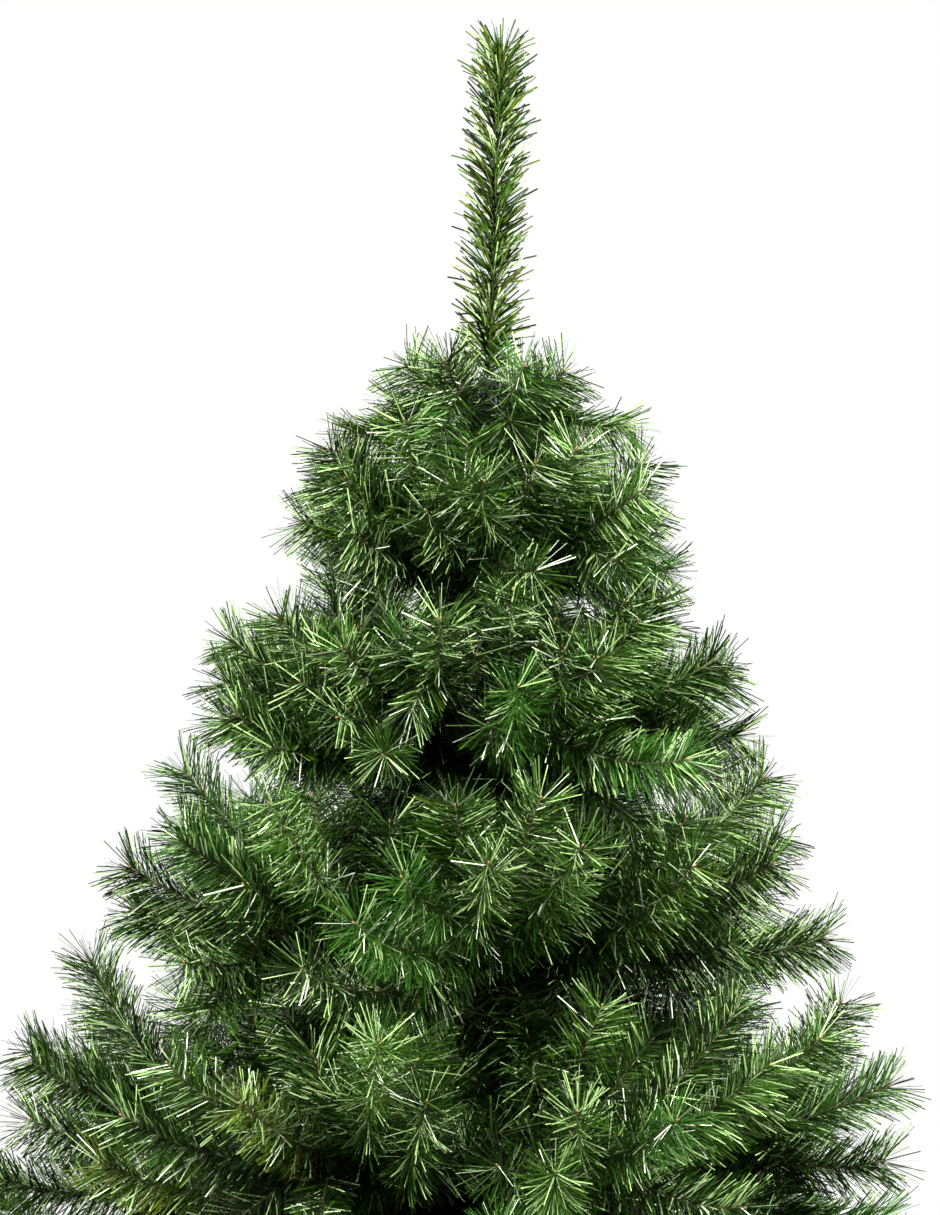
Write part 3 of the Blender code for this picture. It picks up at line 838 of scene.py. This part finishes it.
def buildCollars(material, steel):
    # grooved rings, with a lug and a hook pin for each bough
    rings = bmesh.new()
    hooks = bmesh.new()
    half = pole["collarHeight"] / 2
    outer = pole["collarRadius"]
    edge = collar["bevel"]
    groove = collar["groove"]
    pin = collar["pin"]
    reach = half + collar["pinPast"]
    for tier in range(tiers["count"]):
        level = boughLevel(tier, outer)
        inner = poleRadius(level) - collar["grip"]
        profile = [
            (inner, level - half), (outer - edge, level - half), (outer, level - half + edge),
            (outer, level - groove), (outer - groove, level - groove / 2),
            (outer - groove, level + groove / 2), (outer, level + groove),
            (outer, level + half - edge), (outer - edge, level + half), (inner, level + half),
        ]
        turn(rings, profile, tube["steps"], closed=True)
        for place in range(tiers["boughs"]):
            spin = Matrix.Rotation(boughAzimuth(tier, place), 4, "Z")
            lugPlace = spin @ Matrix.Translation((collar["lugRadius"], 0, level))
            block(rings, collar["lug"], edge, lugPlace)
            pinPlace = spin @ Matrix.Translation((collar["pinRadius"], 0, level))
            profile = [(0, -reach), (pin, -reach), (pin, reach), (0, reach)]
            turn(hooks, profile, collar["pinSteps"], pinPlace)
    pieceFromForm("hook_collars", rings, material)
    pieceFromForm("bough_hooks", hooks, steel)


coated = coatedSteel()
buildPole(coated)
buildCollars(
    mouldedPlastic("moulded polypropylene collar", "#121a14", "#26332a", 0.40),
    bpy.data.materials["lacquered twisted wire"],
)
print("pole and collars")


# Stand: a steel socket with four flat legs, their boots and the clamp screw

stand = {
    "bore": 0.0146, "wall": 0.0030, "foot": 0.040, "top": 0.235, "hub": 0.031, "hubLow": 0.078,
    "hubHigh": 0.132, "edge": 0.001, "lip": 0.0016, "steps": 64, "legs": 4, "legEnd": 0.285,
    "legEndHeight": 0.0125, "legWidth": 0.022, "legDepth": 0.012, "legSink": 0.020,
    "bootLength": 0.046, "bootWidth": 0.032, "bootHeight": 0.027, "screwHeight": 0.205,
}
weld = {"past": 0.004, "thickness": 0.005, "bevel": 0.0022}
nut = {
    "hole": 0.0035, "face": 0.0060, "corner": 0.0066, "chamfer": 0.0006, "thickness": 0.0046,
    "proud": 0.0015,
}
screw = {"radius": 0.0030, "length": 0.022, "pitch": 0.0010, "depth": 0.0006, "steps": 24}
knob = {
    "radius": 0.0125, "thickness": 0.009, "shoulder": 0.0022, "round": 0.0015, "under": 0.0008,
    "rim": 0.0006, "dish": 0.0012, "dishRadius": 0.6, "boss": 0.0004, "bossRadius": 0.5,
    "lobes": 12, "lobeDepth": 0.05, "lobedPast": 0.9,
}
rib = {
    "shares": (0.25, 0.5, 0.75), "thickness": 0.0025, "proud": 0.0016, "lower": 0.0012,
    "lift": 0.002, "bevel": 0.0006,
}
coats = {"sag": 0.050, "chips": 0.007, "spangle": 0.006}


def enamelledSteel():
    # steel dipped and stove-enamelled green: hard gloss, slight sag in the film, small dark chips
    material, shader = newMaterial("stove-enamelled steel", IOR=1.5)
    where = addNode(material, "ShaderNodeTexCoord")
    sag = addNode(
        material, "ShaderNodeTexNoise",
        {"Scale": 1 / coats["sag"], "Detail": 3.0}, {"Vector": (where, "Object")},
    )
    green = addNode(
        material, "ShaderNodeMix",
        {"data_type": "RGBA", 6: (*linearColour("#12301c"), 1), 7: (*linearColour("#1f4a2c"), 1)},
        {0: (sag, "Fac")},
    )
    spots = addNode(
        material, "ShaderNodeTexNoise",
        {"Scale": 1 / coats["chips"], "Detail": 5.0, "Roughness": 0.6},
        {"Vector": (where, "Object")},
    )
    chipped = addNode(
        material, "ShaderNodeMapRange",
        {"From Min": 0.70, "From Max": 0.73}, {"Value": (spots, "Fac")},
    )
    colour = addNode(
        material, "ShaderNodeMix", {"data_type": "RGBA", 7: (*linearColour("#3a3630"), 1)},
        {0: (chipped, "Result"), 6: (green, 2)},
    )
    gloss = addNode(
        material, "ShaderNodeMapRange", {"To Min": 0.22, "To Max": 0.40}, {"Value": (spots, "Fac")}
    )
    relief = addNode(
        material, "ShaderNodeBump",
        {"Strength": 0.25, "Distance": 0.0004}, {"Height": (sag, "Fac")},
    )
    link(material, colour, 2, shader, "Base Color")
    link(material, gloss, "Result", shader, "Roughness")
    link(material, relief, "Normal", shader, "Normal")
    return material


def zincPlate():
    # rolled thread, bright zinc plated: blue-white metal with faint cloudy spangle
    material, shader = newMaterial("zinc-plated steel thread", Metallic=1.0)
    where = addNode(material, "ShaderNodeTexCoord")
    spangle = addNode(
        material, "ShaderNodeTexNoise",
        {"Scale": 1 / coats["spangle"], "Detail": 2.0}, {"Vector": (where, "Object")},
    )
    colour = addNode(
        material, "ShaderNodeMix",
        {"data_type": "RGBA", 6: (*linearColour("#8b8f90"), 1), 7: (*linearColour("#b4b8b8"), 1)},
        {0: (spangle, "Fac")},
    )
    satin = addNode(
        material, "ShaderNodeMapRange",
        {"To Min": 0.28, "To Max": 0.45}, {"Value": (spangle, "Fac")},
    )
    link(material, colour, 2, shader, "Base Color")
    link(material, satin, "Result", shader, "Roughness")
    return material


def legAzimuth(number):
    return 2 * math.pi * (number + 0.5) / stand["legs"]


def legTurn(number):
    # start of a leg at the hub, and its turn with the length along local Z
    outward = polar(1, legAzimuth(number), 0)
    foot = outward * stand["legEnd"] + Vector((0, 0, stand["legEndHeight"]))
    head = outward * stand["hub"] + Vector((0, 0, (stand["hubLow"] + stand["hubHigh"]) / 2))
    along = (foot - head).normalized()
    side = Vector((0, 0, 1)).cross(outward)
    return head, Matrix((side, along.cross(side), along)).transposed().to_4x4()


def screwPlace(radius):
    # at the clamp screw's height, with local Z turned outwards
    place = Matrix.Translation((0, radius, stand["screwHeight"]))
    return place @ Matrix.Rotation(-math.pi / 2, 4, "X")


def addHub(form):
    # a steel shell with a rolled lip, and lower down a pressed hub with rounded shoulders
    bore, shell, hub = stand["bore"], stand["bore"] + stand["wall"], stand["hub"]
    low, high, top, foot = (stand[name] for name in ("hubLow", "hubHigh", "top", "foot"))
    lip = shell + stand["lip"]
    edge = stand["edge"]
    seat = pole["foot"] - pole["gap"]
    profile = [(0, seat), (bore, seat), (bore, top - edge), (bore + edge, top)]
    profile += [(shell + edge, top), (lip, top - edge), (lip, top - 3 * edge)]
    profile += [(shell, top - 5 * edge)]
    profile += [(shell, high + 4 * edge), (shell + edge, high + edge), (shell + 3 * edge, high)]
    profile += [(hub - 3 * edge, high), (hub - edge, high - edge), (hub, high - 3 * edge)]
    profile += [(hub, low + 3 * edge), (hub - edge, low + edge), (hub - 3 * edge, low)]
    profile += [(shell + 3 * edge, low), (shell + edge, low - edge), (shell, low - 4 * edge)]
    profile += [(shell, foot + 2 * edge), (shell - 2 * edge, foot), (0, foot)]
    turn(form, profile, stand["steps"])


def addWelds(form):
    # weld beads where the legs meet the hub
    bead = (stand["legWidth"] + weld["past"], stand["legDepth"] + weld["past"], weld["thickness"])
    for number in range(stand["legs"]):
        head, aim = legTurn(number)
        block(form, bead, weld["bevel"], Matrix.Translation(head) @ aim)


def addNut(form):
    # hexagon nut welded on for the clamp screw
    hole, face, corner, thick = (nut[name] for name in ("hole", "face", "corner", "thickness"))
    profile = [(hole, 0), (face, 0), (corner, nut["chamfer"])]
    profile += [(corner, thick - nut["chamfer"]), (face, thick), (hole, thick)]
    place = screwPlace(stand["bore"] + stand["wall"] + nut["proud"])
    turn(form, profile, 6, place, closed=True)


def buildSocket(material):
    form = bmesh.new()
    addHub(form)
    addWelds(form)
    addNut(form)
    piece = pieceFromForm("stand_socket_shell", form, material, 30)
    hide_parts("stand_socket")


def buildThread(zinc, clamp):
    form = bmesh.new()
    crest, root = screw["radius"], screw["radius"] - screw["depth"]
    profile = [(0, 0)]
    for n in range(int(screw["length"] / screw["pitch"])):
        profile += [(root, n * screw["pitch"]), (crest, (n + 0.5) * screw["pitch"])]
    profile += [(root, screw["length"]), (0, screw["length"])]
    turn(form, profile, screw["steps"], clamp)
    pieceFromForm("clamp_screw_thread", form, zinc)


def buildKnob(plastic, clamp):
    # a lobed grip, its outer face dished round a low boss
    form = bmesh.new()
    wide = knob["radius"]
    rounded = wide - knob["round"]
    low, high = screw["length"], screw["length"] + knob["thickness"]
    profile = [(0, low), (wide * knob["bossRadius"], low), (rounded, low + knob["under"])]
    profile += [(wide, low + knob["shoulder"]), (wide, high - knob["shoulder"])]
    profile += [(rounded, high - knob["rim"]), (wide * knob["dishRadius"], high - knob["dish"])]
    profile += [(wide * knob["bossRadius"], high - knob["boss"]), (0, high)]
    turn(form, profile, 6 * knob["lobes"])
    for vert in form.verts:
        if math.hypot(vert.co.x, vert.co.y) > wide * knob["lobedPast"]:
            wave = 1 - math.cos(knob["lobes"] * math.atan2(vert.co.y, vert.co.x))
            vert.co.xy *= 1 - knob["lobeDepth"] * wave
    bmesh.ops.transform(form, matrix=clamp, verts=form.verts)
    piece = pieceFromForm("clamp_screw_knob", form, plastic)
    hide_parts("stand_screw")


def buildBootRibs(plastic):
    # three raised ribs round each boot, as on a moulded tip
    form = bmesh.new()
    width, height = stand["bootWidth"] + rib["proud"], stand["bootHeight"] - rib["lower"]
    for number in range(stand["legs"]):
        spin = Matrix.Rotation(legAzimuth(number), 4, "Z")
        for share in rib["shares"]:
            radius = stand["legEnd"] - stand["legSink"] + stand["bootLength"] * share
            place = spin @ Matrix.Translation((radius, 0, height / 2 + rib["lift"]))
            block(form, (rib["thickness"], width, height), rib["bevel"], place)
    pieceFromForm("boot_ribs", form, plastic)


enamel = enamelledSteel()
blackPlastic = mouldedPlastic("moulded polypropylene boot", "#0b0b0b", "#1e1e1d", 0.44)
buildSocket(enamel)
clampPlace = screwPlace(pole["sections"][0][0] + pole["gap"])
buildThread(zincPlate(), clampPlace)
buildKnob(blackPlastic, clampPlace)
buildBootRibs(blackPlastic)
for number in range(1, stand["legs"] + 1):
    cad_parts[f"stand_leg_{number}"].material_slots[0].material = enamel
    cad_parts[f"stand_foot_{number}"].material_slots[0].material = blackPlastic
print("stand")


# Floor, lamps and camera

floorSize = {"radius": 2.8, "segments": 96, "formation": 0.15}
# each lamp's place, the height on the axis that it aims at, its size and its watts
lamps = {
    "left": ((-2.6, -2.6, 2.1), 1.0, 0.7, 550),
    "right": ((2.7, -2.4, 1.9), 1.0, 0.7, 515),
    "top": ((0.0, -1.2, 4.0), 1.0, 0.7, 80),
    "back left": ((-2.4, 2.7, 2.4), 1.1, 1.2, 270),
    "back right": ((2.4, 2.7, 2.4), 1.1, 1.2, 270),
}
roomLight = 0.01
# metres to a pixel at the tree, the photo's size in pixels, and in them the column where the
# tree's axis crosses the row of its top, the axis's lean in columns to a row, and that row
camera = {
    "scale": 0.00103, "width": 940, "height": 1215, "axisTop": 503, "axisLean": 0.0413,
    "topRow": 18, "distance": 4.3, "sensor": 36.0,
}


def addFloor():
    # matt photographic paper, with its faint cloudy formation: grey by itself, and white under
    # the lamps
    form = bmesh.new()
    bmesh.ops.create_circle(
        form, cap_ends=True, radius=floorSize["radius"], segments=floorSize["segments"]
    )
    floorMesh = bpy.data.meshes.new("floor")
    form.to_mesh(floorMesh)
    form.free()
    floor = bpy.data.objects.new("floor", floorMesh)
    bpy.context.scene.collection.objects.link(floor)
    material, shader = newMaterial("matt photographic paper", Roughness=0.85)
    where = addNode(material, "ShaderNodeTexCoord")
    cloud = addNode(
        material, "ShaderNodeTexNoise",
        {"Scale": 1 / floorSize["formation"], "Detail": 2.0}, {"Vector": (where, "Object")},
    )
    paper = addNode(
        material, "ShaderNodeMix",
        {"data_type": "RGBA", 6: (*linearColour("#9b9b9b"), 1), 7: (*linearColour("#a4a4a4"), 1)},
        {0: (cloud, "Fac")},
    )
    link(material, paper, 2, shader, "Base Color")
    floorMesh.materials.append(material)


def addWorld():
    # a pure white background to the camera, which gives the tree hardly any light
    world = bpy.data.worlds.new("studio")
    bpy.context.scene.world = world
    world.use_nodes = True
    dim = world.node_tree.nodes["Background"]
    dim.inputs["Color"].default_value = (1, 1, 1, 1)
    dim.inputs["Strength"].default_value = roomLight
    seen = addNode(world, "ShaderNodeBackground", {"Color": (1, 1, 1, 1), "Strength": 1.0})
    rays = addNode(world, "ShaderNodeLightPath")
    mix = addNode(
        world, "ShaderNodeMixShader",
        links={0: (rays, "Is Camera Ray"), 1: (dim, 0), 2: (seen, 0)},
    )
    link(world, mix, 0, world.node_tree.nodes["World Output"], "Surface")


def addLamp(name, place, aim, size, watts):
    data = bpy.data.lights.new(name, "AREA")
    data.shape = "DISK"
    data.size = size
    data.energy = watts
    lamp = bpy.data.objects.new(name, data)
    lamp.location = place
    towards = Vector((0, 0, aim)) - Vector(place)
    lamp.rotation_euler = towards.to_track_quat("-Z", "Y").to_euler()
    bpy.context.scene.collection.objects.link(lamp)


def addCamera():
    # straight ahead of the photo's middle, rolled until the tree leans as it does there
    scale = camera["scale"]
    rowsDown = camera["height"] / 2 - camera["topRow"]
    centreHeight = treeHeight - rowsDown * scale
    axisColumn = camera["axisTop"] - camera["axisLean"] * rowsDown
    centreAside = (camera["width"] / 2 - axisColumn) * scale
    data = bpy.data.cameras.new("camera")
    data.sensor_width = camera["sensor"]
    data.lens = camera["sensor"] * camera["distance"] / (camera["height"] * scale)
    eye = bpy.data.objects.new("camera", data)
    roll = math.atan(camera["axisLean"])
    eye.matrix_world = (
        Matrix.Translation((centreAside, -camera["distance"], centreHeight))
        @ Matrix.Rotation(math.pi / 2, 4, "X")
        @ Matrix.Rotation(roll, 4, "Z")
    )
    bpy.context.scene.collection.objects.link(eye)
    bpy.context.scene.camera = eye


addFloor()
addWorld()
for name, settings in lamps.items():
    addLamp(name, *settings)
addCamera()
bpy.context.scene.view_settings.view_transform = "Standard"
print("floor, lamps and camera")
